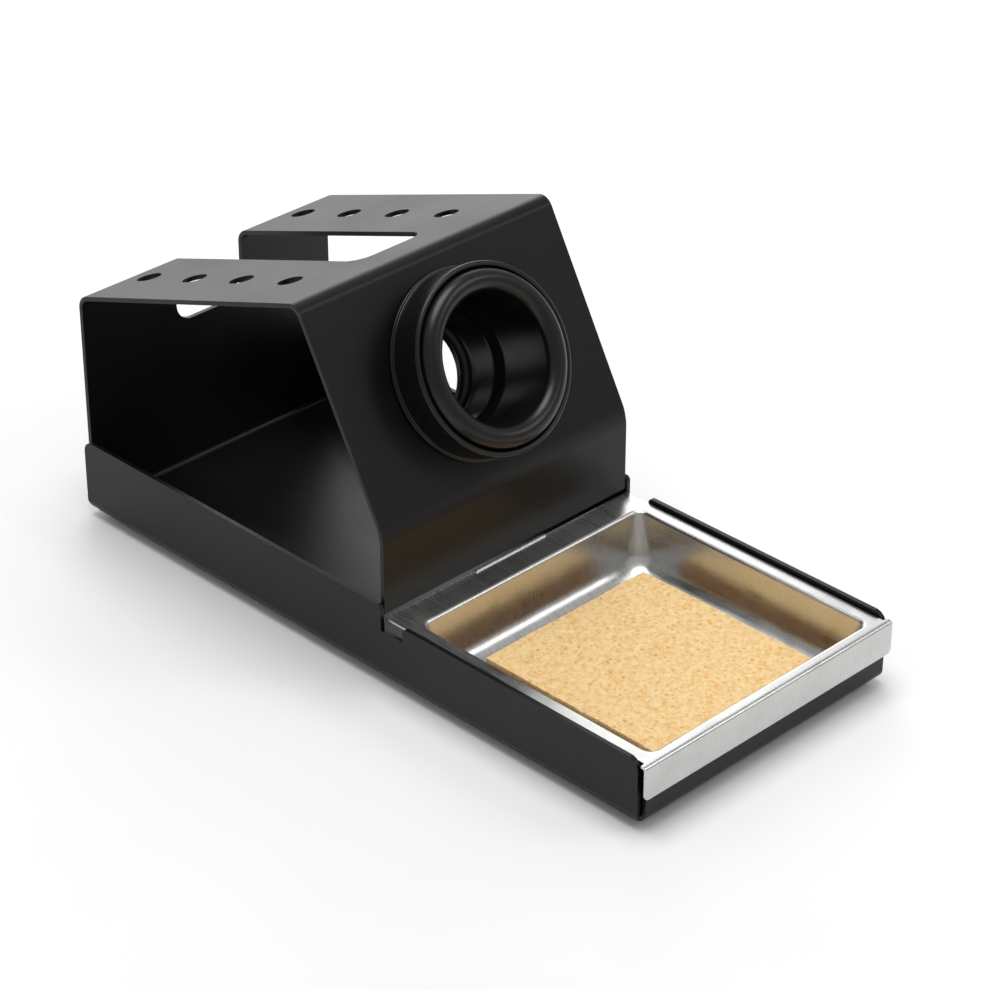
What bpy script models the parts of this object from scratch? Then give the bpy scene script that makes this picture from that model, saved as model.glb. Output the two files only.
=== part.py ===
"""Bench stand for a soldering iron: folded steel body, iron collar, sponge tray and sponge.

Metres, +Z up.  The origin is the middle of the stand's footprint on the bench.
-Y is the front, where the sponge tray is; +Y is the back wall.
Heights are counted from the underside of the body's floor, and distances named FROM_FRONT
from the outside of the body's front wall.
"""

from math import cos, pi, radians, sin

import bmesh
import bpy
from mathutils import Matrix, Vector

# ---- Driving dimensions, metres ----------------------------------------------------------

SEAT_GAP = 0.0003              # between two pieces that touch
SIDE_CLEARANCE = 0.0004        # between two edges that pass each other

# Folded steel body
BODY_LENGTH = 0.200            # front wall to back wall, outside
BODY_WIDTH = 0.088             # side wall to side wall, outside
SHEET = 0.0012                 # steel thickness
FOLD_SETBACK = 0.0030          # distance from a sharp fold line to the start of its round
HOOD_WALL_HEIGHT = 0.0209      # side walls beside the hood
TRAY_WALL_HEIGHT = 0.0180      # side walls beside the tray
WALL_FRONT_SETBACK = 0.0012    # side wall's front end behind the front wall's face
NOTCH_LENGTH = 0.0076          # finger notch in the side walls, at the tray's rear edge
NOTCH_HEIGHT = 0.0139          # bottom of that notch
NOTCH_CORNER_RADIUS = 0.0012
WALL_CORNER_RADIUS = 0.0032    # a little over FOLD_SETBACK, so the two rounds aren't tangent

# Hood, as outside fold lines: (distance from front, height)
BACK_WALL_HEIGHT = 0.0626
HOOD_PEAK_FROM_FRONT = 0.1154
HOOD_PEAK_HEIGHT = 0.0918
FACE_FOOT_FROM_FRONT = 0.0867
FACE_FOOT_HEIGHT = 0.0395
HOOD_LIP_HEIGHT = 0.0178       # lower edge of the upright panel under the sloping face

# Slot and tip holes in the hood's top
SLOT_WIDTH = 0.0230
SLOT_END_FROM_PEAK = 0.0128
SLOT_BOTTOM_HEIGHT = 0.0438
SLOT_CORNER_RADIUS = 0.0052
TIP_HOLE_DIAMETER = 0.0065
TIP_HOLES_PER_SIDE = 4
TIP_HOLE_PITCH = 0.0194
FIRST_TIP_HOLE_FROM_PEAK = 0.0214
TIP_HOLE_ROW_SPACING = 0.0530  # between the two rows, across the stand

# Iron collar, measured along its axis from the sloping face
COLLAR_UP_FACE = 0.0292        # collar axis, up the face from its lower fold
BORE_RADIUS = 0.0164
SLEEVE_WALL = 0.0021
STEP_NARROWING = 0.0018        # the bore's step behind the face
REAR_HOLE_NARROWING = 0.0024   # from that step to the hole at the cup's end
STEP_BEHIND_FACE = 0.0073
CUP_BEHIND_FACE = 0.0186
CUP_WALL = 0.0018
LIP_OVERHANG = 0.0038          # the insert's lip past its sleeve
LIP_DEPTH = 0.0130
BEZEL_RIM_WALL = 0.0015
BEZEL_FLANGE = 0.0004          # the bezel's foot past its rim
BEZEL_DEPTH = 0.0109
BEZEL_WEB = 0.0030             # thickness of the bezel's inner seat
LOCK_RING_WALL = 0.0050
LOCK_RING_DEPTH = 0.0045
LOCK_RING_NOTCHES = 6

# Drawn sponge tray
TRAY_SHEET = 0.0006
TRAY_RIM_DROP = 0.0011         # tray flange below the side walls' top edge
TRAY_RIM_SIDE = 0.0041         # flange width at the sides
TRAY_RIM_REAR = 0.0083
TRAY_RIM_FRONT = 0.0036
BASIN_DRAFT = 0.0022           # how far each wall leans in towards its foot
BASIN_RIM_CORNER_RADIUS = 0.0024
BASIN_FOOT_CORNER_RADIUS = 0.0070
BASIN_FLOOR_RADIUS = 0.0040
LIP_SPREAD = 0.0002            # body's width past the lip, each side
LIP_DROP = 0.0092
LIP_CORNER_RADIUS = 0.0014
REAR_TAB_WIDTH = 0.0244
REAR_TAB_RISE = 0.0005

# Sponge, with the space left between it and the foot of each basin wall
SPONGE_THICKNESS = 0.0050
SPONGE_SPACE_LEFT = 0.0086
SPONGE_SPACE_RIGHT = 0.0070
SPONGE_SPACE_FRONT = 0.0061
SPONGE_SPACE_REAR = 0.0083
SPONGE_CORNER_RADIUS = 0.0010

# Feet
FOOT_RADIUS = 0.0060
FOOT_HEIGHT = 0.0015
FOOT_INSET = 0.0120            # foot centre from the body's outside faces

# ---- Derived places ------------------------------------------------------------------------

LIP_STANDOFF = SIDE_CLEARANCE + TRAY_SHEET
FRONT_Y = (LIP_STANDOFF - BODY_LENGTH) / 2
FLOOR_Z = FOOT_HEIGHT + SEAT_GAP
HALF_WIDTH = BODY_WIDTH / 2
STRIP_HALF = HALF_WIDTH - SHEET - SIDE_CLEARANCE
RIM_HEIGHT = TRAY_WALL_HEIGHT - TRAY_RIM_DROP
FRONT_WALL_HEIGHT = RIM_HEIGHT - TRAY_SHEET - SEAT_GAP
HALF_SLOT = SLOT_WIDTH / 2
SLEEVE_RADIUS = BORE_RADIUS + SLEEVE_WALL
SLEEVE_HOLE_RADIUS = SLEEVE_RADIUS + SEAT_GAP
LIP_RADIUS = SLEEVE_RADIUS + LIP_OVERHANG
POCKET_RADIUS = LIP_RADIUS + SEAT_GAP
RIM_RADIUS = POCKET_RADIUS + BEZEL_RIM_WALL
STEP_RADIUS = BORE_RADIUS - STEP_NARROWING
REAR_HOLE_RADIUS = STEP_RADIUS - REAR_HOLE_NARROWING
LOCK_RING_RADIUS = SLEEVE_HOLE_RADIUS + LOCK_RING_WALL


def stand_point(x, from_front, height):
    """A point of the stand from its own measures, in world coordinates."""
    return Vector((x, FRONT_Y + from_front, FLOOR_Z + height))


def frame_at(origin, y_axis):
    """Frame with X across the stand and Y along y_axis; its Z is the face's normal."""
    across = Vector((1, 0, 0))
    up = y_axis.normalized()
    out = across.cross(up)
    frame = Matrix((across, up, out)).transposed().to_4x4()
    frame.translation = origin
    return frame


SIDE_FRAME = Matrix(((0, 0, 1, 0), (1, 0, 0, 0), (0, 1, 0, 0), (0, 0, 0, 1)))
SIDE_FRAME.translation = stand_point(0, 0, 0)

PEAK = stand_point(0, HOOD_PEAK_FROM_FRONT, HOOD_PEAK_HEIGHT)
BACK_TOP = stand_point(0, BODY_LENGTH, BACK_WALL_HEIGHT)
FACE_FOOT = stand_point(0, FACE_FOOT_FROM_FRONT, FACE_FOOT_HEIGHT)
TOP_FRAME = frame_at(PEAK, BACK_TOP - PEAK)
FACE_FRAME = frame_at(FACE_FOOT, PEAK - FACE_FOOT)
BACK_FRAME = frame_at(stand_point(0, BODY_LENGTH, 0), Vector((0, 0, 1)))
COLLAR_FRAME = FACE_FRAME @ Matrix.Translation((0, COLLAR_UP_FACE, 0))

# ---- Scene and helpers -----------------------------------------------------------------------

for old in list(bpy.data.objects):
    bpy.data.objects.remove(old, do_unlink=True)

PARTS = bpy.data.collections.new("soldering_iron_stand")
CUTTERS = bpy.data.collections.new("cutters")
bpy.context.scene.collection.children.link(PARTS)
bpy.context.scene.collection.children.link(CUTTERS)


def material(name, colour, roughness, metallic=0.0):
    made = bpy.data.materials.new(name)
    made.use_nodes = True
    shader = made.node_tree.nodes["Principled BSDF"]
    shader.inputs["Base Color"].default_value = (*colour, 1.0)
    shader.inputs["Roughness"].default_value = roughness
    shader.inputs["Metallic"].default_value = metallic
    made.diffuse_color = (*colour, 1.0)
    return made


def add_part(obj, finish):
    PARTS.objects.link(obj)
    obj.data.materials.clear()
    obj.data.materials.append(finish)
    return obj


def add_cutter(obj):
    CUTTERS.objects.link(obj)
    obj.hide_render = True
    obj.display_type = "WIRE"
    return obj


def boolean(obj, other, operation="DIFFERENCE"):
    modifier = obj.modifiers.new(other.name, "BOOLEAN")
    modifier.operation = operation
    modifier.solver = "EXACT"
    modifier.object = other


def arc(centre, radius, start, end, steps=6):
    """Points on an arc from one angle to another, in degrees."""
    angles = [radians(start + (end - start) * i / steps) for i in range(steps + 1)]
    return [(centre[0] + radius * cos(a), centre[1] + radius * sin(a)) for a in angles]


def outline_prism(name, outline, half_depth, frame):
    """A flat outline with thickness, as a closed mesh."""
    curve = bpy.data.curves.new(name, "CURVE")
    curve.dimensions = "2D"
    curve.fill_mode = "BOTH"
    curve.extrude = half_depth
    spline = curve.splines.new("POLY")
    spline.points.add(len(outline) - 1)
    for point, (a, b) in zip(spline.points, outline):
        point.co = (a, b, 0, 1)
    spline.use_cyclic_u = True
    source = bpy.data.objects.new(name + "_outline", curve)
    bpy.context.scene.collection.objects.link(source)
    source.matrix_world = frame
    bpy.context.view_layer.update()
    evaluated = source.evaluated_get(bpy.context.evaluated_depsgraph_get())
    mesh = bpy.data.meshes.new_from_object(evaluated)
    bm = bmesh.new()
    bm.from_mesh(mesh)
    bmesh.ops.remove_doubles(bm, verts=bm.verts, dist=1e-6)
    bmesh.ops.recalc_face_normals(bm, faces=bm.faces)
    bm.to_mesh(mesh)
    bm.free()
    prism = bpy.data.objects.new(name, mesh)
    prism.matrix_world = frame
    bpy.data.objects.remove(source, do_unlink=True)
    return prism


def folded_sheet(name, path, half_span, thickness, setback, along=Vector((1, 0, 0)),
                 level_faces=-1, round_end=0):
    """Sheet folded along a path of outside fold lines, its outer face on the path.

    level_faces says whether the level panel's outer side faces up (1) or down (-1), and
    round_end rounds the two corners at the path's last point.
    """
    bm = bmesh.new()
    chain = [bm.verts.new(point - along * half_span) for point in path]
    edges = [bm.edges.new(pair) for pair in zip(chain, chain[1:])]
    swept = bmesh.ops.extrude_edge_only(bm, edges=edges)["geom"]
    moved = [v for v in swept if isinstance(v, bmesh.types.BMVert)]
    bmesh.ops.translate(bm, verts=moved, vec=along * half_span * 2)
    bm.normal_update()
    level = max(bm.faces, key=lambda face: face.calc_area() * abs(face.normal.z))
    if level.normal.z * level_faces < 0:
        bmesh.ops.reverse_faces(bm, faces=bm.faces)
    if round_end:
        last = path[-1]
        corners = [v for v in bm.verts if (v.co - last).cross(along).length < 1e-6]
        bmesh.ops.bevel(bm, geom=corners, affect="VERTICES", offset=round_end, segments=4,
                        profile=0.5)
    mesh = bpy.data.meshes.new(name)
    bm.to_mesh(mesh)
    bm.free()
    obj = bpy.data.objects.new(name, mesh)
    folds = obj.modifiers.new("folds", "BEVEL")
    folds.width = setback
    folds.segments = 4
    folds.limit_method = "ANGLE"
    folds.angle_limit = radians(10)
    shell = obj.modifiers.new("sheet", "SOLIDIFY")
    shell.thickness = thickness
    shell.offset = -1
    shell.use_even_offset = True
    return obj


def turned(name, profile, frame, steps=48, closed=True):
    """A profile of (radius, height) pairs turned round the frame's Z axis."""
    bm = bmesh.new()
    ring = [bm.verts.new((radius, 0, height)) for radius, height in profile]
    pairs = list(zip(ring, ring[1:]))
    if closed:
        pairs.append((ring[-1], ring[0]))
    for pair in pairs:
        bm.edges.new(pair)
    mesh = bpy.data.meshes.new(name)
    bm.to_mesh(mesh)
    bm.free()
    obj = bpy.data.objects.new(name, mesh)
    obj.matrix_world = frame
    screw = obj.modifiers.new("turn", "SCREW")
    screw.axis = "Z"
    screw.steps = steps
    screw.render_steps = steps
    screw.use_merge_vertices = True
    screw.merge_threshold = 0.00001
    screw.use_smooth_shade = True
    return obj


def disc_cutter(name, radius, half_depth, frame, spots, vertices=32):
    """Round cutters at (x, y) spots of a frame, in one mesh."""
    bm = bmesh.new()
    for x, y in spots:
        bmesh.ops.create_cone(bm, cap_ends=True, segments=vertices, radius1=radius,
                              radius2=radius, depth=half_depth * 2,
                              matrix=Matrix.Translation((x, y, 0)))
    mesh = bpy.data.meshes.new(name)
    bm.to_mesh(mesh)
    bm.free()
    obj = bpy.data.objects.new(name, mesh)
    obj.matrix_world = frame
    return obj


def drafted_box(name, centre, top_size, foot_size, top, foot, top_corner, foot_corner,
                floor_round):
    """Box that may narrow towards its foot, with round corners and a round floor edge."""
    bm = bmesh.new()
    bmesh.ops.create_cube(bm, size=1)
    for vert in bm.verts:
        size = top_size if vert.co.z > 0 else foot_size
        height = top if vert.co.z > 0 else foot
        vert.co = Vector((vert.co.x * size[0], vert.co.y * size[1], height))
    uprights = [e for e in bm.edges if abs(e.verts[0].co.z - e.verts[1].co.z) > 1e-6]
    bmesh.ops.bevel(bm, geom=uprights, affect="EDGES", offset=top_corner, segments=5,
                    profile=0.5)
    spread = foot_corner / top_corner
    for vert in bm.verts:
        if vert.co.z < foot + 1e-7:
            for axis in (0, 1):
                side = 1 if vert.co[axis] > 0 else -1
                reach = foot_size[axis] / 2
                past = vert.co[axis] * side - (reach - top_corner)
                vert.co[axis] = side * (reach - foot_corner + past * spread)
    if floor_round:
        low = [e for e in bm.edges if max(v.co.z for v in e.verts) < foot + 1e-7]
        bmesh.ops.bevel(bm, geom=low, affect="EDGES", offset=floor_round, segments=4, profile=0.5)
    bmesh.ops.translate(bm, verts=bm.verts, vec=(*centre, 0))
    mesh = bpy.data.meshes.new(name)
    bm.to_mesh(mesh)
    bm.free()
    return bpy.data.objects.new(name, mesh)


# ---- Materials -----------------------------------------------------------------------------

BLACK_STEEL = material("powder_coated_steel", (0.022, 0.022, 0.023), 0.42)
BLACK_PLASTIC = material("black_phenolic", (0.016, 0.016, 0.017), 0.36)
STAINLESS = material("stainless_steel", (0.62, 0.62, 0.60), 0.24, 1.0)
CELLULOSE = material("cellulose_sponge", (0.84, 0.63, 0.30), 0.92)
RUBBER = material("black_rubber", (0.020, 0.020, 0.020), 0.75)

# ---- Folded steel body ----------------------------------------------------------------------

# The long strip: front wall, floor, back wall, hood top, sloping face and upright panel.
strip_path = [
    stand_point(0, 0, FRONT_WALL_HEIGHT),
    stand_point(0, 0, 0),
    stand_point(0, BODY_LENGTH, 0),
    BACK_TOP,
    PEAK,
    FACE_FOOT,
    stand_point(0, FACE_FOOT_FROM_FRONT, HOOD_LIP_HEIGHT),
]
body = add_part(folded_sheet("folded_body", strip_path, STRIP_HALF, SHEET, FOLD_SETBACK),
                BLACK_STEEL)

# The side walls fold up from the floor's long edges; one is drawn, the other mirrored.
wall_path = [
    stand_point(HALF_WIDTH, BODY_LENGTH / 2, HOOD_WALL_HEIGHT + SHEET),
    stand_point(HALF_WIDTH, BODY_LENGTH / 2, 0),
    stand_point(STRIP_HALF - FOLD_SETBACK * 2, BODY_LENGTH / 2, 0),
]
side_wall = add_cutter(folded_sheet("side_walls", wall_path, BODY_LENGTH / 2 + SHEET, SHEET,
                                    FOLD_SETBACK, along=Vector((0, 1, 0))))

# Side view of the walls, seen square on: rounded ends, low tray stretch and finger notch.
radius = WALL_CORNER_RADIUS
notch_radius = NOTCH_CORNER_RADIUS
wall_front = WALL_FRONT_SETBACK
notch_rear = FACE_FOOT_FROM_FRONT - SEAT_GAP
notch_front = notch_rear - NOTCH_LENGTH
wall_outline = arc((wall_front + radius, radius), radius, 180, 270)
wall_outline += arc((BODY_LENGTH - radius, radius), radius, 270, 360)
wall_outline += arc((BODY_LENGTH - radius, HOOD_WALL_HEIGHT - radius), radius, 0, 90)
wall_outline += arc((notch_rear + notch_radius, HOOD_WALL_HEIGHT - notch_radius), notch_radius,
                    90, 180)
wall_outline += [(notch_rear, NOTCH_HEIGHT), (notch_front, NOTCH_HEIGHT)]
wall_outline += arc((notch_front - notch_radius, TRAY_WALL_HEIGHT - notch_radius), notch_radius,
                    0, 90)
wall_outline += arc((wall_front + radius, TRAY_WALL_HEIGHT - radius), radius, 90, 180)
wall_trim = add_cutter(outline_prism("wall_trim", wall_outline, BODY_WIDTH, SIDE_FRAME))
boolean(side_wall, wall_trim, "INTERSECT")
mirror = side_wall.modifiers.new("other_side", "MIRROR")
mirror.use_axis = (True, False, False)
mirror.use_mirror_merge = False
boolean(body, side_wall, "UNION")

# Slot between the two arms of the hood's top, carried on down the back wall.
slot_length = (BACK_TOP - PEAK).length - SLOT_END_FROM_PEAK
slot_radius = SLOT_CORNER_RADIUS
inner = HALF_SLOT - slot_radius
top_slot = [(HALF_SLOT, (BACK_TOP - PEAK).length + SHEET * 4)]
top_slot += [(-HALF_SLOT, (BACK_TOP - PEAK).length + SHEET * 4)]
top_slot += arc((-inner, SLOT_END_FROM_PEAK + slot_radius), slot_radius, 180, 270)
top_slot += arc((inner, SLOT_END_FROM_PEAK + slot_radius), slot_radius, 270, 360)
back_slot = [(HALF_SLOT, BACK_WALL_HEIGHT + SHEET * 4), (-HALF_SLOT, BACK_WALL_HEIGHT + SHEET * 4)]
back_slot += arc((-inner, SLOT_BOTTOM_HEIGHT + slot_radius), slot_radius, 180, 270)
back_slot += arc((inner, SLOT_BOTTOM_HEIGHT + slot_radius), slot_radius, 270, 360)
for name, outline, frame in (("top_slot", top_slot, TOP_FRAME),
                             ("back_slot", back_slot, BACK_FRAME)):
    boolean(body, add_cutter(outline_prism(name, outline, SHEET * 4, frame)))

# Two rows of holes that hold spare tips.
tip_spots = [
    (side * TIP_HOLE_ROW_SPACING / 2, FIRST_TIP_HOLE_FROM_PEAK + i * TIP_HOLE_PITCH)
    for side in (-1, 1)
    for i in range(TIP_HOLES_PER_SIDE)
]
boolean(body, add_cutter(disc_cutter("tip_holes", TIP_HOLE_DIAMETER / 2, SHEET * 3, TOP_FRAME,
                                     tip_spots, vertices=20)))

# Hole for the collar's sleeve in the sloping face.
boolean(body, add_cutter(disc_cutter("collar_hole", SLEEVE_HOLE_RADIUS, SHEET * 3,
                                     COLLAR_FRAME, [(0, 0)], vertices=48)))

# ---- Iron collar ------------------------------------------------------------------------------

# Bezel: the outer ring that stands on the sloping face.
rim_round = BEZEL_RIM_WALL / 2
flange_radius = RIM_RADIUS + BEZEL_FLANGE
flange_top = SEAT_GAP + SHEET
bezel_profile = [(flange_radius, flange_top), (flange_radius, SEAT_GAP),
                 (SLEEVE_HOLE_RADIUS, SEAT_GAP), (SLEEVE_HOLE_RADIUS, BEZEL_WEB),
                 (POCKET_RADIUS, BEZEL_WEB)]
bezel_profile += arc((RIM_RADIUS - rim_round, BEZEL_DEPTH - rim_round), rim_round, 180, 0)
bezel_profile += [(RIM_RADIUS - SEAT_GAP, flange_top + BEZEL_FLANGE)]
add_part(turned("collar_bezel", bezel_profile, COLLAR_FRAME), BLACK_PLASTIC)

# Insert: a sleeve with a round lip in front and a cup with a smaller hole behind.
lip_round = (LIP_RADIUS - BORE_RADIUS) / 2
lip_seat = BEZEL_WEB + SEAT_GAP
back_end = -(CUP_BEHIND_FACE + CUP_WALL)
insert_profile = [(LIP_RADIUS, lip_seat), (SLEEVE_RADIUS, lip_seat),
                  (SLEEVE_RADIUS, back_end + SLEEVE_WALL / 2),
                  (SLEEVE_RADIUS - SLEEVE_WALL / 2, back_end),
                  (REAR_HOLE_RADIUS, back_end), (REAR_HOLE_RADIUS, -CUP_BEHIND_FACE),
                  (STEP_RADIUS - CUP_WALL, -CUP_BEHIND_FACE),
                  (STEP_RADIUS, CUP_WALL - CUP_BEHIND_FACE), (STEP_RADIUS, -STEP_BEHIND_FACE),
                  (BORE_RADIUS, -STEP_BEHIND_FACE)]
insert_profile += arc((BORE_RADIUS + lip_round, LIP_DEPTH - lip_round), lip_round, 180, 0,
                      steps=10)
add_part(turned("collar_insert", insert_profile, COLLAR_FRAME), BLACK_PLASTIC)

# Lock ring: screws onto the sleeve behind the face, with notches for a spanner.
ring_front = -(SHEET + SEAT_GAP)
ring_back = ring_front - LOCK_RING_DEPTH
ring_profile = [(LOCK_RING_RADIUS, ring_front), (LOCK_RING_RADIUS, ring_back),
                (SLEEVE_HOLE_RADIUS, ring_back), (SLEEVE_HOLE_RADIUS, ring_front)]
lock_ring = add_part(turned("collar_lock_ring", ring_profile, COLLAR_FRAME), BLACK_PLASTIC)
notch_spots = [
    (LOCK_RING_RADIUS * cos(2 * pi * i / LOCK_RING_NOTCHES),
     LOCK_RING_RADIUS * sin(2 * pi * i / LOCK_RING_NOTCHES))
    for i in range(LOCK_RING_NOTCHES)
]
boolean(lock_ring, add_cutter(disc_cutter("ring_notches", CUP_WALL, LOCK_RING_DEPTH * 3,
                                          COLLAR_FRAME, notch_spots, vertices=16)))

# ---- Sponge tray --------------------------------------------------------------------------------

# The flange lies inside the side walls; in front it widens and turns down as a lip.
flange_half = STRIP_HALF
flange_rear = FACE_FOOT_FROM_FRONT - SIDE_CLEARANCE
flange_front = WALL_FRONT_SETBACK - SIDE_CLEARANCE
flange_path = [
    stand_point(0, flange_front - TRAY_SHEET, RIM_HEIGHT),
    stand_point(0, flange_rear, RIM_HEIGHT),
]
tray = add_part(folded_sheet("sponge_tray", flange_path, flange_half, TRAY_SHEET, TRAY_SHEET,
                             level_faces=1), STAINLESS)
lip_path = [
    stand_point(0, flange_front, RIM_HEIGHT),
    stand_point(0, -LIP_STANDOFF, RIM_HEIGHT),
    stand_point(0, -LIP_STANDOFF, RIM_HEIGHT - LIP_DROP),
]
front_lip = add_cutter(folded_sheet("tray_lip", lip_path, HALF_WIDTH - LIP_SPREAD, TRAY_SHEET,
                                    TRAY_SHEET * 1.6, level_faces=1,
                                    round_end=LIP_CORNER_RADIUS))
tab_front = flange_rear - TRAY_SHEET
tab_top = RIM_HEIGHT + REAR_TAB_RISE
tab_outline = [(tab_front, RIM_HEIGHT - TRAY_SHEET / 2),
               (flange_rear, RIM_HEIGHT - TRAY_SHEET / 2),
               (flange_rear, tab_top), (tab_front, tab_top)]
rear_tab = add_cutter(outline_prism("tray_tab", tab_outline, REAR_TAB_WIDTH / 2, SIDE_FRAME))

# Basin: an outer and an inner drafted box, a sheet's thickness apart.
basin_front = TRAY_RIM_FRONT - LIP_STANDOFF
basin_rear = flange_rear - TRAY_RIM_REAR
basin_floor = SHEET + SEAT_GAP + TRAY_SHEET
basin_depth = RIM_HEIGHT - basin_floor
basin_width = (flange_half - TRAY_RIM_SIDE) * 2
basin_length = basin_rear - basin_front
basin_middle = (basin_front + basin_rear) / 2
lean = BASIN_DRAFT / basin_depth


def basin_box(name, wall, top_height, floor_height, floor_round):
    def size(height):
        inset = lean * (RIM_HEIGHT - height) - wall
        return (basin_width - 2 * inset, basin_length - 2 * inset)
    middle = stand_point(0, basin_middle, 0)
    return add_cutter(drafted_box(name, (middle.x, middle.y), size(top_height),
                                  size(floor_height), FLOOR_Z + top_height,
                                  FLOOR_Z + floor_height, BASIN_RIM_CORNER_RADIUS + wall,
                                  BASIN_FOOT_CORNER_RADIUS + wall, floor_round))


basin_outside = basin_box("basin_outside", TRAY_SHEET, RIM_HEIGHT - TRAY_SHEET / 2,
                          basin_floor - TRAY_SHEET, BASIN_FLOOR_RADIUS + TRAY_SHEET)
basin_inside = basin_box("basin_inside", 0, RIM_HEIGHT + TRAY_SHEET, basin_floor,
                         BASIN_FLOOR_RADIUS)
boolean(tray, front_lip, "UNION")
boolean(tray, rear_tab, "UNION")
boolean(tray, basin_outside, "UNION")
boolean(tray, basin_inside)

# ---- Sponge -----------------------------------------------------------------------------------------

sponge_base = basin_floor + SEAT_GAP
basin_foot_half = basin_width / 2 - BASIN_DRAFT
sponge_left = SPONGE_SPACE_LEFT - basin_foot_half
sponge_right = basin_foot_half - SPONGE_SPACE_RIGHT
sponge_front = basin_front + BASIN_DRAFT + SPONGE_SPACE_FRONT
sponge_rear = basin_rear - BASIN_DRAFT - SPONGE_SPACE_REAR
sponge_middle = stand_point((sponge_left + sponge_right) / 2, (sponge_front + sponge_rear) / 2, 0)
sponge_size = (sponge_right - sponge_left, sponge_rear - sponge_front)
sponge = drafted_box("sponge", (sponge_middle.x, sponge_middle.y), sponge_size, sponge_size,
                     FLOOR_Z + sponge_base + SPONGE_THICKNESS, FLOOR_Z + sponge_base,
                     SPONGE_CORNER_RADIUS, SPONGE_CORNER_RADIUS, 0)
add_part(sponge, CELLULOSE)

# ---- Rubber feet ----------------------------------------------------------------------------------------

foot_profile = [(0, FOOT_HEIGHT), (FOOT_RADIUS, FOOT_HEIGHT), (FOOT_RADIUS, FOOT_HEIGHT / 3),
                (FOOT_RADIUS - FOOT_HEIGHT / 3, 0), (0, 0)]
for name, side, from_front in (("foot_front_left", -1, FOOT_INSET),
                               ("foot_front_right", 1, FOOT_INSET),
                               ("foot_rear_left", -1, BODY_LENGTH - FOOT_INSET),
                               ("foot_rear_right", 1, BODY_LENGTH - FOOT_INSET)):
    spot = Matrix.Translation((side * (HALF_WIDTH - FOOT_INSET), FRONT_Y + from_front, 0))
    add_part(turned(name, foot_profile, spot, steps=32, closed=False), RUBBER)
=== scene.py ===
from math import cos, pi, radians, sin

import bmesh
import bpy
from mathutils import Matrix, Vector, noise


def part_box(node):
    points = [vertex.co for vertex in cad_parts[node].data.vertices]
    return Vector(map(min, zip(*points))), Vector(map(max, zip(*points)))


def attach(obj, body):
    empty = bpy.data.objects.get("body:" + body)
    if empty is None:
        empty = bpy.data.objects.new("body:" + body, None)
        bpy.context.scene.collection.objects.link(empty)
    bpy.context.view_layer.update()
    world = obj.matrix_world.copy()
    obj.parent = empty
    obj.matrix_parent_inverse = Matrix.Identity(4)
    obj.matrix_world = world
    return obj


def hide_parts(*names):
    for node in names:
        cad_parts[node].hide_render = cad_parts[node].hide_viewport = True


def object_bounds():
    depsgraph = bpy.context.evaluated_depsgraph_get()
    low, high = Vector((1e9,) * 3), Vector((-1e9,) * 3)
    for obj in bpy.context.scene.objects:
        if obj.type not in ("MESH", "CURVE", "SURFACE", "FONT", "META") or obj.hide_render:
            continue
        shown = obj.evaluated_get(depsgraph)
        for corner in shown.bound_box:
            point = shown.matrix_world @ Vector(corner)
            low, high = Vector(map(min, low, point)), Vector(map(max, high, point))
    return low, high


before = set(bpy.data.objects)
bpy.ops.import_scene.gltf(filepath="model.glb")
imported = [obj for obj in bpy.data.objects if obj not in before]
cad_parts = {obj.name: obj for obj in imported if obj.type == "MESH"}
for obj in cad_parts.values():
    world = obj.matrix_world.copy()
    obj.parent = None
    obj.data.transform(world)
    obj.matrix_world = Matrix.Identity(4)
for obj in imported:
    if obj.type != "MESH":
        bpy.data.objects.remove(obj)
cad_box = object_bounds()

# ---- Folded steel body ---------------------------------------------------------------------
# One sheet of 1.2 mm steel, laser cut flat with its slot, tip holes and collar hole, then
# folded on a press brake and powder coated black.  The long strip runs from the front wall
# round to the upright panel behind the tray; the side walls fold up from the floor.

body_low, body_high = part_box("folded_body")
front_y, rear_y = body_low.y, body_high.y
base_z = body_low.z
half_width = body_high.x
sheet = 0.0012
fold_setback = 0.0030
side_clearance = 0.0004
strip_half = half_width - sheet - side_clearance
edge_break = 0.00022           # rounding that the coating leaves on cut edges


def add_named(name):
    """Names the object just added, fixes its scale and turn into its mesh, and starts editing."""
    obj = bpy.context.active_object
    obj.name = name
    obj.data.name = name
    bpy.ops.object.transform_apply(location=True, rotation=True, scale=True)
    bpy.ops.object.mode_set(mode="EDIT")
    return obj


def pick(obj, kind, wanted):
    """In edit mode, selects only the vertices, edges or faces whose every corner is wanted."""
    bpy.ops.mesh.select_mode(type=kind)
    bpy.ops.mesh.select_all(action="DESELECT")
    mesh = bmesh.from_edit_mesh(obj.data)
    for element in {"VERT": mesh.verts, "EDGE": mesh.edges, "FACE": mesh.faces}[kind]:
        corners = [element] if kind == "VERT" else element.verts
        if all(wanted(corner.co) for corner in corners):
            element.select_set(True)
    mesh.select_flush_mode()
    bmesh.update_edit_mesh(obj.data)


def extrude(x, y, z):
    bpy.ops.mesh.extrude_region_move(TRANSFORM_OT_translate={"value": (x, y, z)})


def near(a, b):
    return abs(a - b) < 1e-5


def pick_folds(obj, direction):
    """Selects the inner edges that run along one axis, where the sheet folds."""
    bpy.ops.mesh.select_mode(type="EDGE")
    bpy.ops.mesh.select_all(action="DESELECT")
    mesh = bmesh.from_edit_mesh(obj.data)
    for edge in mesh.edges:
        run = (edge.verts[1].co - edge.verts[0].co).normalized()
        if len(edge.link_faces) == 2 and edge.calc_face_angle() > 0.1:
            edge.select_set(abs(run.dot(direction)) > 0.99)
    bmesh.update_edit_mesh(obj.data)


def finish_edit():
    bpy.ops.object.mode_set(mode="OBJECT")
    bpy.ops.object.select_all(action="DESELECT")


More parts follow.
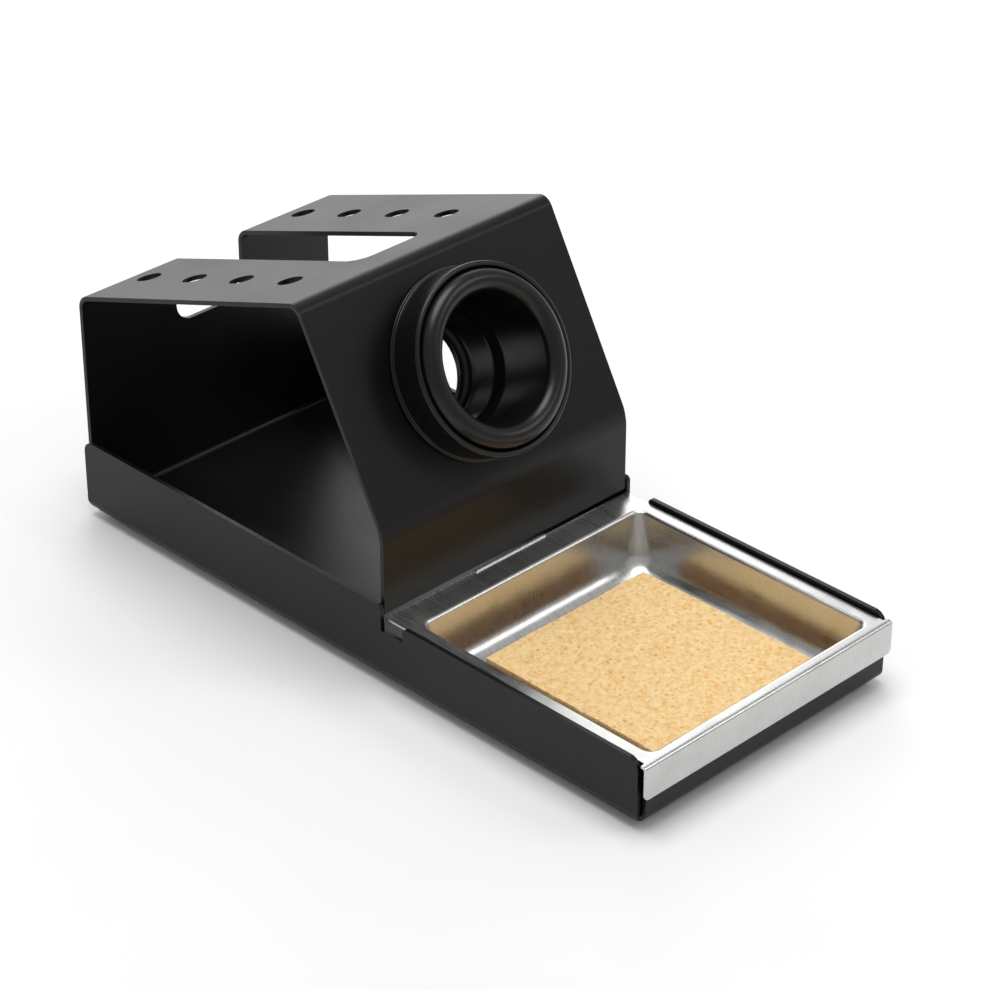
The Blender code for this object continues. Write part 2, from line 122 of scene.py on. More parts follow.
def apply_modifier(obj, kind, **settings):
    """Adds one modifier with these settings and applies it."""
    bpy.context.view_layer.objects.active = obj
    modifier = obj.modifiers.new(kind.lower(), kind)
    for key, value in settings.items():
        setattr(modifier, key, value)
    bpy.ops.object.modifier_apply(modifier=modifier.name)


def cut(obj, cutter, operation="DIFFERENCE"):
    """Booleans one object with another, then removes the other."""
    apply_modifier(obj, "BOOLEAN", operation=operation, solver="EXACT", object=cutter)
    bpy.data.objects.remove(cutter, do_unlink=True)


def face_outwards(obj, down=True):
    """Turns an open sheet's faces so that its lowest level face looks down (or up)."""
    bpy.ops.mesh.select_all(action="SELECT")
    bpy.ops.mesh.normals_make_consistent(inside=False)
    mesh = bmesh.from_edit_mesh(obj.data)
    level = [face for face in mesh.faces if abs(face.normal.z) > 0.99]
    lowest = min(level, key=lambda face: face.calc_center_median().z)
    if (lowest.normal.z < 0) != down:
        bpy.ops.mesh.flip_normals()


bpy.ops.object.select_all(action="DESELECT")
bpy.ops.mesh.primitive_plane_add(size=1, location=(0, (front_y + rear_y) / 2, base_z))
bpy.context.active_object.scale = (strip_half * 2, rear_y - front_y, 1)
body = add_named("stand_body")
front_wall = 0.0160
back_wall = 0.0626
peak = Vector((0, front_y + 0.1154, base_z + 0.0918))
face_foot = Vector((0, front_y + 0.0867, base_z + 0.0395))
panel_bottom = base_z + 0.0178
back_top = Vector((0, rear_y, base_z + back_wall))
pick(body, "EDGE", lambda p: near(p.y, front_y))
extrude(0, 0, front_wall)
pick(body, "EDGE", lambda p: near(p.y, rear_y))
extrude(0, 0, back_wall)
extrude(*(peak - back_top))
extrude(*(face_foot - peak))
extrude(0, 0, panel_bottom - face_foot.z)
face_outwards(body)
pick_folds(body, Vector((1, 0, 0)))
bpy.ops.mesh.bevel(offset=fold_setback, segments=10, profile=0.5)
finish_edit()
apply_modifier(body, "SOLIDIFY", thickness=sheet, offset=-1, use_even_offset=True)

# Right-hand side wall: folded up from the floor, then trimmed to its side view, which has
# round ends, a low stretch beside the tray and a finger notch.
notch_rear = front_y + 0.0864
notch_front = notch_rear - 0.0076
notch_z = base_z + 0.0139
tray_wall_z = base_z + 0.0180
hood_wall_z = base_z + 0.0209
wall_front = front_y + 0.0012
wall_inner = strip_half - fold_setback * 2
bpy.ops.mesh.primitive_plane_add(
    size=1, location=((wall_inner + half_width) / 2, (front_y + rear_y) / 2, base_z))
bpy.context.active_object.scale = (half_width - wall_inner, rear_y - front_y + sheet * 2, 1)
side_wall = add_named("side_wall")
pick(side_wall, "EDGE", lambda p: near(p.x, half_width))
extrude(0, 0, hood_wall_z + sheet - base_z)
face_outwards(side_wall)
pick_folds(side_wall, Vector((0, 1, 0)))
bpy.ops.mesh.bevel(offset=fold_setback, segments=10, profile=0.5)
finish_edit()
apply_modifier(side_wall, "SOLIDIFY", thickness=sheet, offset=-1, use_even_offset=True)

bpy.ops.mesh.primitive_plane_add(
    size=1, rotation=(0, pi / 2, 0),
    location=(half_width + sheet, (wall_front + rear_y) / 2, (base_z + notch_z) / 2))
bpy.context.active_object.scale = (notch_z - base_z, rear_y - wall_front, 1)
wall_trim = add_named("wall_trim")
for cut_y in (notch_front, notch_rear):
    bpy.ops.mesh.select_all(action="SELECT")
    bpy.ops.mesh.bisect(plane_co=(0, cut_y, 0), plane_no=(0, 1, 0))
pick(wall_trim, "EDGE", lambda p: near(p.z, notch_z) and p.y > notch_rear - 1e-5)
extrude(0, 0, hood_wall_z - notch_z)
pick(wall_trim, "EDGE", lambda p: near(p.z, notch_z) and p.y < notch_front + 1e-5)
extrude(0, 0, tray_wall_z - notch_z)
for corner_y, corner_z, corner_radius in (
        (rear_y, hood_wall_z, 0.0032), (notch_rear, hood_wall_z, 0.0012),
        (notch_front, tray_wall_z, 0.0012), (wall_front, tray_wall_z, 0.0032),
        (wall_front, base_z, 0.0032), (rear_y, base_z, 0.0032)):
    pick(wall_trim, "VERT", lambda p: near(p.y, corner_y) and near(p.z, corner_z))
    bpy.ops.mesh.bevel(offset=corner_radius, segments=8, profile=0.5, affect="VERTICES")
bpy.ops.mesh.select_mode(type="FACE")
bpy.ops.mesh.select_all(action="SELECT")
extrude(wall_inner - half_width - sheet * 2, 0, 0)
bpy.ops.mesh.select_all(action="SELECT")
bpy.ops.mesh.normals_make_consistent(inside=False)
finish_edit()
cut(side_wall, wall_trim, "INTERSECT")
apply_modifier(side_wall, "MIRROR", use_mirror_merge=False)
cut(body, side_wall, "UNION")

# Slot through the hood's top and down its back wall, open where the two meet.
slot_half = 0.0115
slot_radius = 0.0052
slot_from_peak = 0.0128
slot_bottom = 0.0438
overshoot = 0.004              # how far each cutter passes the fold between them


def sloped_frame(origin, along):
    """Frame with X across the stand, Y along the sheet and Z out of it."""
    across = Vector((1, 0, 0))
    up = along.normalized()
    turned = Matrix((across, up, across.cross(up))).transposed().to_4x4()
    turned.translation = origin
    return turned


top_frame = sloped_frame(peak, back_top - peak)
back_frame = sloped_frame(back_top, Vector((0, 0, -1)))
top_length = (back_top - peak).length
for slot_frame, slot_start, slot_end, round_at_start in (
        (top_frame, slot_from_peak, top_length + overshoot, True),
        (back_frame, -overshoot, back_wall - slot_bottom, False)):
    bpy.ops.mesh.primitive_cube_add(size=1, location=(0, (slot_start + slot_end) / 2, 0))
    bpy.context.active_object.scale = (slot_half * 2, slot_end - slot_start, sheet * 8)
    slot_cutter = add_named("slot_cutter")
    round_y = slot_start if round_at_start else slot_end
    pick(slot_cutter, "EDGE", lambda p: near(p.y, round_y))
    mesh = bmesh.from_edit_mesh(slot_cutter.data)
    for edge in mesh.edges:
        edge.select_set(edge.select and near(edge.verts[0].co.x, edge.verts[1].co.x))
    bmesh.update_edit_mesh(slot_cutter.data)
    bpy.ops.mesh.bevel(offset=slot_radius, segments=12, profile=0.5)
    finish_edit()
    slot_cutter.matrix_world = slot_frame
    cut(body, slot_cutter)

# Tip holes, four down each arm, and the round hole that the collar screws into.
row_from_middle = 0.0265
first_hole_from_peak = 0.0214
hole_pitch = 0.0194
hole_radius = 0.00325
hole_spots = [(side * row_from_middle, first_hole_from_peak + row * hole_pitch)
              for side in (-1, 1) for row in range(4)]
for hole_x, hole_y in hole_spots:
    bpy.ops.mesh.primitive_cylinder_add(vertices=48, radius=hole_radius, depth=sheet * 6,
                                        location=(hole_x, hole_y, 0))
    hole_cutter = add_named("hole_cutter")
    finish_edit()
    hole_cutter.matrix_world = top_frame
    cut(body, hole_cutter)

face_frame = sloped_frame(face_foot, peak - face_foot)
collar_up_face = 0.0292
collar_hole = 0.0188
collar_frame = face_frame @ Matrix.Translation((0, collar_up_face, 0))
bpy.ops.mesh.primitive_cylinder_add(vertices=96, radius=collar_hole, depth=sheet * 6)
hole_cutter = add_named("hole_cutter")
finish_edit()
hole_cutter.matrix_world = collar_frame
cut(body, hole_cutter)

bpy.context.view_layer.objects.active = body
bpy.ops.object.mode_set(mode="EDIT")
bpy.ops.mesh.select_all(action="SELECT")
bpy.ops.mesh.remove_doubles(threshold=1e-6)
bpy.ops.mesh.dissolve_limited(angle_limit=radians(0.3))
finish_edit()
apply_modifier(body, "BEVEL", width=edge_break, segments=2, limit_method="ANGLE",
               angle_limit=radians(50))
apply_modifier(body, "TRIANGULATE")
body.select_set(True)
bpy.ops.object.shade_smooth_by_angle(angle=radians(32))
apply_modifier(body, "WEIGHTED_NORMAL", keep_sharp=True)


def new_material(name):
    """An empty node material with its Principled shader; returns both and a node maker."""
    made = bpy.data.materials.new(name)
    made.use_nodes = True
    tree = made.node_tree
    shader = tree.nodes["Principled BSDF"]

    def node(kind, inputs=(), **settings):
        new = tree.nodes.new(kind)
        for key, value in settings.items():
            setattr(new, key, value)
        for socket, value in dict(inputs).items():
            if isinstance(value, bpy.types.NodeSocket):
                tree.links.new(value, new.inputs[socket])
            else:
                new.inputs[socket].default_value = value
        return new

    def link(source, socket):
        tree.links.new(source, shader.inputs[socket])

    return made, shader, node, link


def ramp(node, source, stops):
    """A colour ramp over a value, from (position, grey or colour) stops."""
    made = node("ShaderNodeValToRGB", {"Fac": source})
    elements = made.color_ramp.elements
    while len(elements) < len(stops):
        elements.new(0.5)
    for element, (position, colour) in zip(elements, stops):
        element.position = position
        element.color = (*colour, 1) if isinstance(colour, tuple) else (colour,) * 3 + (1,)
    return made.outputs["Color"]


# Powder coat: fine orange peel, faint cloudiness in its gloss, and specks of pale dust.
coat, shader, node, link = new_material("powder_coat_black")
place = node("ShaderNodeTexCoord").outputs["Object"]
peel = node("ShaderNodeTexNoise", {"Vector": place, "Scale": 1900.0, "Detail": 3.0,
                                   "Roughness": 0.55})
cloud = node("ShaderNodeTexNoise", {"Vector": place, "Scale": 38.0, "Detail": 5.0,
                                    "Roughness": 0.6})
dust = node("ShaderNodeTexVoronoi", {"Vector": place, "Scale": 420.0, "Randomness": 1.0})
dust_mask = node("ShaderNodeTexNoise", {"Vector": place, "Scale": 150.0, "Detail": 2.0})
speck = ramp(node, dust.outputs["Distance"], [(0.02, 1.0), (0.085, 0.0)])
gate = ramp(node, dust_mask.outputs["Fac"], [(0.60, 0.0), (0.70, 1.0)])
specks = node("ShaderNodeMix", {0: 1.0, 6: speck, 7: gate}, data_type="RGBA",
              blend_type="MULTIPLY")
tone = ramp(node, cloud.outputs["Fac"], [(0.25, (0.0032, 0.0031, 0.0031)),
                                         (0.75, (0.0048, 0.0047, 0.0046))])
painted = node("ShaderNodeMix", {0: specks.outputs[2], 6: tone, 7: (0.045, 0.045, 0.045, 1)},
               data_type="RGBA")
link(painted.outputs[2], "Base Color")
link(ramp(node, cloud.outputs["Fac"], [(0.2, 0.33), (0.8, 0.42)]), "Roughness")
shader.inputs["Specular IOR Level"].default_value = 0.26
bump = node("ShaderNodeBump", {"Height": peel.outputs["Fac"], "Strength": 0.22,
                               "Distance": 0.00012})
link(bump.outputs["Normal"], "Normal")
body.data.materials.append(coat)
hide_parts("folded_body")
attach(body, "stand")

# ---- Rubber feet ---------------------------------------------------------------------------
# Four soft black rubber discs, moulded with a chamfered rim and a shallow dish, stuck under
# the floor near its corners.


def turned_piece(name, profile, steps=128):
    """Rings of (radius, height) drawn out one from another, top of the outer side first.

    A profile that starts at radius 0 is capped there; a closed one ends where it starts.
    """
    bpy.ops.object.select_all(action="DESELECT")
    radius, height = profile[0]
    bpy.ops.mesh.primitive_circle_add(vertices=steps, radius=radius, location=(0, 0, height))
    obj = add_named(name)
    for (old_radius, old_height), (new_radius, new_height) in zip(profile, profile[1:]):
        scale = new_radius / old_radius
        bpy.ops.mesh.extrude_region_move(
            TRANSFORM_OT_translate={"value": (0, 0, new_height - old_height)})
        bpy.ops.transform.resize(value=(scale, scale, 1),
                                 center_override=(0, 0, new_height))
    bpy.ops.mesh.select_all(action="SELECT")
    bpy.ops.mesh.remove_doubles(threshold=2e-6)
    bpy.ops.mesh.fill_holes(sides=0)
    bpy.ops.mesh.select_all(action="SELECT")
    bpy.ops.mesh.normals_make_consistent(inside=False)
    finish_edit()
    return obj


def smooth(obj, degrees):
    bpy.ops.object.select_all(action="DESELECT")
    obj.select_set(True)
    bpy.context.view_layer.objects.active = obj
    bpy.ops.object.shade_smooth_by_angle(angle=radians(degrees))


rubber, shader, node, link = new_material("moulded_rubber")
place = node("ShaderNodeTexCoord").outputs["Object"]
grain = node("ShaderNodeTexNoise", {"Vector": place, "Scale": 2600.0, "Detail": 2.0})
scuff = node("ShaderNodeTexNoise", {"Vector": place, "Scale": 210.0, "Detail": 6.0})
link(ramp(node, scuff.outputs["Fac"], [(0.35, (0.013, 0.013, 0.013)),
                                       (0.75, (0.030, 0.029, 0.028))]), "Base Color")
link(ramp(node, scuff.outputs["Fac"], [(0.3, 0.66), (0.8, 0.86)]), "Roughness")
bump = node("ShaderNodeBump", {"Height": grain.outputs["Fac"], "Strength": 0.25,
                               "Distance": 0.0001})
link(bump.outputs["Normal"], "Normal")
for foot_name in ("foot_front_left", "foot_front_right", "foot_rear_left", "foot_rear_right"):
    foot_low, foot_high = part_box(foot_name)
    foot_middle = (foot_low + foot_high) / 2
    foot_radius = (foot_high.x - foot_low.x) / 2
    foot_height = foot_high.z - foot_low.z
    foot = turned_piece("rubber_" + foot_name, [
        (foot_radius * 0.9, foot_height), (foot_radius, foot_height),
        (foot_radius, foot_height * 0.45), (foot_radius * 0.97, foot_height * 0.2),
        (foot_radius * 0.91, foot_height * 0.05), (foot_radius * 0.86, 0),
        (foot_radius * 0.66, 0), (foot_radius * 0.58, foot_height * 0.12),
        (foot_radius * 0.1, foot_height * 0.14)], steps=64)
    foot.location = (foot_middle.x, foot_middle.y, foot_low.z)
    foot.select_set(True)
    bpy.context.view_layer.objects.active = foot
    bpy.ops.object.transform_apply(location=True, rotation=False, scale=False)
    smooth(foot, 35)
    foot.data.materials.append(rubber)
    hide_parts(foot_name)
    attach(foot, "stand")

# ---- Iron collar ---------------------------------------------------------------------------
# A black phenolic collar that holds the iron's handle.  The bezel is a turned ring that seats
# on the sloping face; the insert drops into it with a fat round lip, passes through the face
# and narrows to a cup; a notched ring screws onto its sleeve from behind.

phenolic, shader, node, link = new_material("satin_phenolic")
place = node("ShaderNodeTexCoord").outputs["Object"]
flow = node("ShaderNodeTexNoise", {"Vector": place, "Scale": 60.0, "Detail": 6.0,
                                   "Roughness": 0.65})
pits = node("ShaderNodeTexNoise", {"Vector": place, "Scale": 1400.0, "Detail": 2.0})
link(ramp(node, flow.outputs["Fac"], [(0.3, (0.0032, 0.0031, 0.0031)),
                                      (0.75, (0.0052, 0.0051, 0.0050))]), "Base Color")
shader.inputs["Specular IOR Level"].default_value = 0.36
link(ramp(node, flow.outputs["Fac"], [(0.25, 0.25), (0.8, 0.36)]), "Roughness")
bump = node("ShaderNodeBump", {"Height": pits.outputs["Fac"], "Strength": 0.10,
                               "Distance": 0.0001})
link(bump.outputs["Normal"], "Normal")


def arc(centre_radius, centre_height, radius, start, end, steps=10):
    """Profile points on an arc, angles in degrees from the outward direction."""
    angles = [radians(start + (end - start) * i / steps) for i in range(steps + 1)]
    return [(centre_radius + radius * cos(a), centre_height + radius * sin(a)) for a in angles]


def set_in_collar(obj, node_name, degrees):
    """Puts a turned collar piece on the collar's axis, with its finish and its body."""
    obj.matrix_world = collar_frame
    obj.select_set(True)
    bpy.context.view_layer.objects.active = obj
    bpy.ops.object.transform_apply(location=True, rotation=True, scale=False)
    smooth(obj, degrees)
    obj.data.materials.append(phenolic)
    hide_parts(node_name)
    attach(obj, "stand")


# The bezel: a thin foot, a shallow waist and a rounded rim round the pocket for the insert.
seat_gap = 0.0003
pocket_radius = 0.0226
pocket_floor = 0.0033
bezel_profile = [(collar_hole, seat_gap), (0.0242, seat_gap)]
bezel_profile += arc(0.0242, seat_gap + 0.0006, 0.0003, -60, 90, steps=5)
bezel_profile += arc(0.0241, seat_gap + 0.0013, 0.0004, -90, -180, steps=5)
bezel_profile += [(0.0238, 0.0040), (0.0240, 0.0088)]
bezel_profile += arc(0.02335, 0.01015, 0.00075, 0, 180, steps=18)
bezel_profile += [(pocket_radius, pocket_floor), (collar_hole, pocket_floor)]
bezel = turned_piece("collar_outer_ring", bezel_profile + bezel_profile[:1])
set_in_collar(bezel, "collar_bezel", 40)

# The insert's lip is a half-round; its bore narrows to a cup with a rounded shoulder.
bore_radius = 0.0164
lip_outer = 0.0223
lip_crest = 0.0130
lip_seat = 0.0036
lip_radius = (lip_outer - bore_radius) / 2
insert_profile = [(lip_outer, lip_seat)]
insert_profile += arc(bore_radius + lip_radius, lip_crest - lip_radius, lip_radius, 0, 180,
                      steps=28)
insert_profile += arc(0.0140, -0.0054, 0.0023, 0, -28, steps=5)
insert_profile += arc(0.0176, -0.0092, 0.0030, 152, 180, steps=5)
insert_profile += [(0.0146, -0.0162)]
insert_profile += arc(0.0124, -0.0162, 0.0022, 0, -84, steps=10)
insert_profile += arc(0.0129, -0.0192, 0.0007, 130, 180, steps=4)
insert_profile += [(0.0122, -0.0204), (0.0173, -0.0204), (0.0185, -0.0192), (0.0185, lip_seat)]
insert = turned_piece("collar_sleeve", insert_profile + insert_profile[:1])
set_in_collar(insert, "collar_insert", 38)

# Lock ring with six spanner notches, cut before it is turned onto the axis.
ring_radius = 0.0238
ring_front = -0.0015
ring_back = -0.0060
ring_edge = 0.0004
notch_count = 6
notch_radius = 0.0018
ring_profile = [(collar_hole, ring_front), (ring_radius - ring_edge, ring_front),
                (ring_radius, ring_front - ring_edge), (ring_radius, ring_back + ring_edge),
                (ring_radius - ring_edge, ring_back), (collar_hole, ring_back)]
lock_ring = turned_piece("collar_ring_nut", ring_profile + ring_profile[:1])
for notch in range(notch_count):
    notch_angle = 2 * pi * notch / notch_count
    bpy.ops.mesh.primitive_cylinder_add(
        vertices=40, radius=notch_radius, depth=0.02,
        location=(ring_radius * cos(notch_angle), ring_radius * sin(notch_angle), -0.0038))
    notch_cutter = add_named("notch_cutter")
    finish_edit()
    cut(lock_ring, notch_cutter)
set_in_collar(lock_ring, "collar_lock_ring", 38)

# ---- Sponge tray ---------------------------------------------------------------------------
# Drawn from 0.6 mm stainless sheet: a flange that lies between the side walls, a front lip
# folded down over the front wall, a small tab at the rear to lift it by, and a basin with soft
# draw radii and a raised panel in its floor.  It simply rests in the body.

tray_low, tray_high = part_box("sponge_tray")
tray_sheet = 0.0006
rim_z = base_z + 0.0169
flange_half = strip_half
flange_front = front_y + 0.0008
flange_rear = front_y + 0.0863
basin_half = 0.0383
basin_front = front_y + 0.0026
basin_rear = front_y + 0.0780
basin_floor = base_z + 0.0021
rim_corner = 0.0024             # basin's corner radius at its rim, larger at its foot
foot_corner = 0.0070

draw_margin = 0.0010           # flat metal kept round the basin's draw radius
wall_lean = 0.0022
bpy.ops.object.select_all(action="DESELECT")
bpy.ops.mesh.primitive_plane_add(size=1, location=(0, (basin_front + basin_rear) / 2, rim_z))
bpy.context.active_object.scale = ((basin_half + draw_margin) * 2,
                                   basin_rear - basin_front + draw_margin * 2, 1)
tray = add_named("sponge_tray_steel")
bpy.ops.mesh.select_all(action="SELECT")
bpy.ops.mesh.bevel(offset=rim_corner + draw_margin, segments=14, affect="VERTICES")
bpy.ops.mesh.select_mode(type="FACE")
bpy.ops.mesh.select_all(action="SELECT")
bpy.ops.mesh.inset(thickness=draw_margin, use_even_offset=True)
extrude(0, 0, basin_floor - rim_z)
basin_middle = (basin_front + basin_rear) / 2
mesh = bmesh.from_edit_mesh(tray.data)
for corner in mesh.verts:
    if near(corner.co.z, basin_floor):
        for axis, middle, reach in ((0, 0, basin_half),
                                    (1, basin_middle, basin_rear - basin_middle)):
            offset = corner.co[axis] - middle
            past = abs(offset) - (reach - rim_corner)
            moved = reach - wall_lean - foot_corner + past * foot_corner / rim_corner
            corner.co[axis] = middle + (moved if offset > 0 else -moved)
bmesh.update_edit_mesh(tray.data)


def pick_level_ring(obj, height):
    """Selects the loop of folded edges that lies at one height."""
    bpy.ops.mesh.select_mode(type="EDGE")
    bpy.ops.mesh.select_all(action="DESELECT")
    mesh = bmesh.from_edit_mesh(obj.data)
    for edge in mesh.edges:
        level = all(near(corner.co.z, height) for corner in edge.verts)
        if level and len(edge.link_faces) == 2 and edge.calc_face_angle() > 0.1:
            edge.select_set(True)
    bmesh.update_edit_mesh(obj.data)


pick_level_ring(tray, rim_z)
bpy.ops.mesh.bevel(offset=0.0008, segments=5, profile=0.5)
pick_level_ring(tray, basin_floor)
bpy.ops.mesh.bevel(offset=0.0042, segments=12, profile=0.5)

# Floor panel, pressed up a little inside a soft step.
pick(tray, "FACE", lambda p: near(p.z, basin_floor))
bpy.ops.mesh.inset(thickness=0.0012, use_even_offset=True)
bpy.ops.mesh.inset(thickness=0.0007, use_even_offset=True)
bpy.ops.transform.translate(value=(0, 0, 0.00025))
bpy.ops.mesh.inset(thickness=0.0006, use_even_offset=True)

# Flange: a rectangle round the basin, filled between its edges and the draw margin.
bpy.ops.mesh.select_all(action="DESELECT")
bpy.ops.mesh.primitive_plane_add(size=1, location=(0, 0, rim_z))
bpy.ops.transform.resize(value=(flange_half * 2, flange_rear - flange_front, 1),
                         center_override=(0, 0, rim_z))
bpy.ops.transform.translate(value=(0, (flange_front + flange_rear) / 2, 0))
tab_half = 0.0122
tab_slit = 0.0006              # gap cut at each side of the tab
tab_rise = 0.0005
flange_middle = front_y + 0.0434
flange_reach = 0.0425          # past this from the middle there is only flange, no basin rim
for tab_x in (-tab_half - tab_slit, -tab_half, tab_half, tab_half + tab_slit):
    pick(tray, "FACE", lambda p: near(p.z, rim_z) and abs(p.y - flange_middle) > flange_reach)
    bpy.ops.mesh.bisect(plane_co=(tab_x, 0, 0), plane_no=(1, 0, 0))
pick(tray, "EDGE", lambda p: near(abs(p.x), tab_half) or near(abs(p.x), tab_half + tab_slit))
mesh = bmesh.from_edit_mesh(tray.data)
for edge in mesh.edges:
    edge.select_set(edge.select and near(edge.verts[0].co.x, edge.verts[1].co.x))
bmesh.update_edit_mesh(tray.data)
bpy.ops.mesh.delete(type="EDGE")
pick(tray, "EDGE", lambda p: near(p.z, rim_z))
mesh = bmesh.from_edit_mesh(tray.data)
for edge in mesh.edges:
    edge.select_set(edge.select and len(edge.link_faces) < 2)
bmesh.update_edit_mesh(tray.data)
bpy.ops.mesh.fill(use_beauty=True)

# Lift tab: the middle of the rear edge stands up, its back flush with the flange's end.
pick(tray, "VERT", lambda p: near(p.y, flange_rear) and abs(p.x) < tab_half + 1e-5)
bpy.ops.transform.translate(value=(0, -tray_sheet, 0))
pick(tray, "EDGE", lambda p: near(p.y, flange_rear - tray_sheet) and abs(p.x) < tab_half + 1e-5)
extrude(0, 0, tab_rise)

# Front lip: widened past the flange, then folded down with round lower corners.
lip_neck = 0.0002
lip_drop = 0.0092
pick(tray, "EDGE", lambda p: near(p.y, flange_front))
extrude(0, -lip_neck, 0)
bpy.ops.transform.resize(value=(tray_high.x / flange_half, 1, 1), center_override=(0, 0, 0))
extrude(0, tray_low.y - flange_front + lip_neck, 0)
extrude(0, 0, -lip_drop)
lip_low = rim_z - lip_drop
pick(tray, "VERT", lambda p: near(p.z, lip_low) and near(abs(p.x), tray_high.x))
bpy.ops.mesh.bevel(offset=0.0014, segments=8, affect="VERTICES")
pick(tray, "EDGE", lambda p: near(p.y, tray_low.y) and near(p.z, rim_z))
bpy.ops.mesh.bevel(offset=0.0010, segments=6, profile=0.5)
bpy.ops.mesh.select_all(action="SELECT")
bpy.ops.mesh.remove_doubles(threshold=1e-6)
face_outwards(tray, down=False)
finish_edit()
apply_modifier(tray, "SOLIDIFY", thickness=tray_sheet, offset=-1, use_even_offset=True)
apply_modifier(tray, "BEVEL", width=0.00012, segments=2, limit_method="ANGLE",
               angle_limit=radians(60))
smooth(tray, 35)
apply_modifier(tray, "WEIGHTED_NORMAL", keep_sharp=True)

# Satin rolled stainless: a fine grain along the sheet, faint smears and soft ripples.
stainless, shader, node, link = new_material("drawn_stainless")
place = node("ShaderNodeTexCoord").outputs["Object"]
shader.inputs["Metallic"].default_value = 1.0
along_sheet = node("ShaderNodeMapping", {"Vector": place, "Scale": (2600.0, 90.0, 260.0)})
grain = node("ShaderNodeTexNoise", {"Vector": along_sheet.outputs["Vector"], "Scale": 1.0,
                                    "Detail": 4.0, "Roughness": 0.6})
smear = node("ShaderNodeTexNoise", {"Vector": place, "Scale": 45.0, "Detail": 5.0,
                                    "Roughness": 0.62, "Distortion": 0.8})
fine = node("ShaderNodeTexNoise", {"Vector": place, "Scale": 520.0, "Detail": 4.0})
steel = ramp(node, smear.outputs["Fac"], [(0.25, (0.54, 0.54, 0.53)),
                                          (0.75, (0.66, 0.66, 0.645))])
hairlines = ramp(node, grain.outputs["Fac"], [(0.30, 0.78), (0.62, 1.0)])
rolled = node("ShaderNodeMix", {0: 0.42, 6: steel, 7: hairlines}, data_type="RGBA",
              blend_type="MULTIPLY")
link(rolled.outputs[2], "Base Color")
gloss = node("ShaderNodeMix", {0: 0.45, 6: ramp(node, smear.outputs["Fac"],
                                                [(0.25, 0.22), (0.8, 0.36)]),
                               7: ramp(node, grain.outputs["Fac"],
                                       [(0.3, 0.20), (0.75, 0.42)])}, data_type="RGBA")
link(gloss.outputs[2], "Roughness")
waves = node("ShaderNodeTexNoise", {"Vector": place, "Scale": 95.0, "Detail": 1.0})
ripple = node("ShaderNodeBump", {"Height": waves.outputs["Fac"], "Strength": 0.55,
                                 "Distance": 0.0004})
scratch = node("ShaderNodeBump", {"Height": grain.outputs["Fac"], "Strength": 0.30,
                                  "Distance": 0.00003,
                                  "Normal": ripple.outputs["Normal"]})
dimple = node("ShaderNodeBump", {"Height": fine.outputs["Fac"], "Strength": 0.10,
                                 "Distance": 0.00006, "Normal": scratch.outputs["Normal"]})
link(dimple.outputs["Normal"], "Normal")
tray.data.materials.append(stainless)
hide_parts("sponge_tray")
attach(tray, "tray")

# ---- Sponge --------------------------------------------------------------------------------
# A square of pressed cellulose sponge, die-cut from sheet, pale ochre, with fine pores, a few
# larger holes and orange flecks; painted shade darkens its pores and holes, and browns its sides
# and deep pores below the top.  It lies loose on the tray's floor.

sponge_low, sponge_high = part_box("sponge")
sponge_middle = (sponge_low + sponge_high) / 2
sponge_size = sponge_high.x - sponge_low.x
sponge_thick = sponge_high.z - sponge_low.z
grid_cells = 190
bpy.ops.object.select_all(action="DESELECT")
bpy.ops.mesh.primitive_grid_add(x_subdivisions=grid_cells, y_subdivisions=grid_cells,
                                size=sponge_size,
                                location=(sponge_middle.x, sponge_middle.y, sponge_high.z))
sponge = add_named("cellulose_pad")
bpy.ops.mesh.select_all(action="SELECT")
bpy.ops.mesh.region_to_loop()
side_rows = 12
for _ in range(side_rows):
    extrude(0, 0, -sponge_thick / side_rows)
bpy.ops.mesh.edge_face_add()
bpy.ops.mesh.select_all(action="SELECT")
bpy.ops.mesh.normals_make_consistent(inside=False)
finish_edit()


def pore_depth(spot, cell, share, seed):
    """How deep a point lies in a round pore, 0 to 1, among pores scattered one to a cell."""
    distances, centres = noise.voronoi(spot / cell + Vector((seed, seed, seed)))
    keep = noise.noise(centres[0] * 7.31) * 0.5 + 0.5
    if keep > share:
        return 0.0
    return max(0.0, 1.0 - distances[0] / 0.42)


half_size = sponge_size / 2
for vertex in sponge.data.vertices:
    spot = vertex.co.copy()
    height = (spot.z - sponge_low.z) / sponge_thick
    from_edge = min(half_size - abs(spot.x - sponge_middle.x),
                    half_size - abs(spot.y - sponge_middle.y))
    on_top = height > 0.999 and from_edge > 1e-5
    waviness = noise.noise(spot * 60) * 0.00022
    tooth = noise.noise(spot * 900) * 0.00007
    pores = (pore_depth(spot, 0.00085, 0.46, 3.0) * 0.00018
             + pore_depth(spot, 0.0018, 0.44, 11.0) * 0.00034
             + pore_depth(spot, 0.0050, 0.22, 23.0) * 0.00055)
    edge_round = 0.00025 * max(0.0, 1.0 - from_edge / 0.0006) ** 2
    if on_top:
        vertex.co.z += waviness + tooth - pores - edge_round - 0.00012
    elif height > 0.02:
        outward = Vector((spot.x - sponge_middle.x, spot.y - sponge_middle.y, 0))
        side = Vector((round(outward.x / half_size / 1.0001), 0, 0))
        if abs(outward.y) > abs(outward.x) - 1e-6:
            side = Vector((side.x, round(outward.y / half_size / 1.0001), 0))
        ragged = noise.noise(spot * 320) * 0.00022 + noise.noise(spot * 90) * 0.00030
        vertex.co += side * (ragged - pores * 0.8 - 0.00035)
        if height > 0.999:
            vertex.co.z -= 0.00030
smooth(sponge, 60)

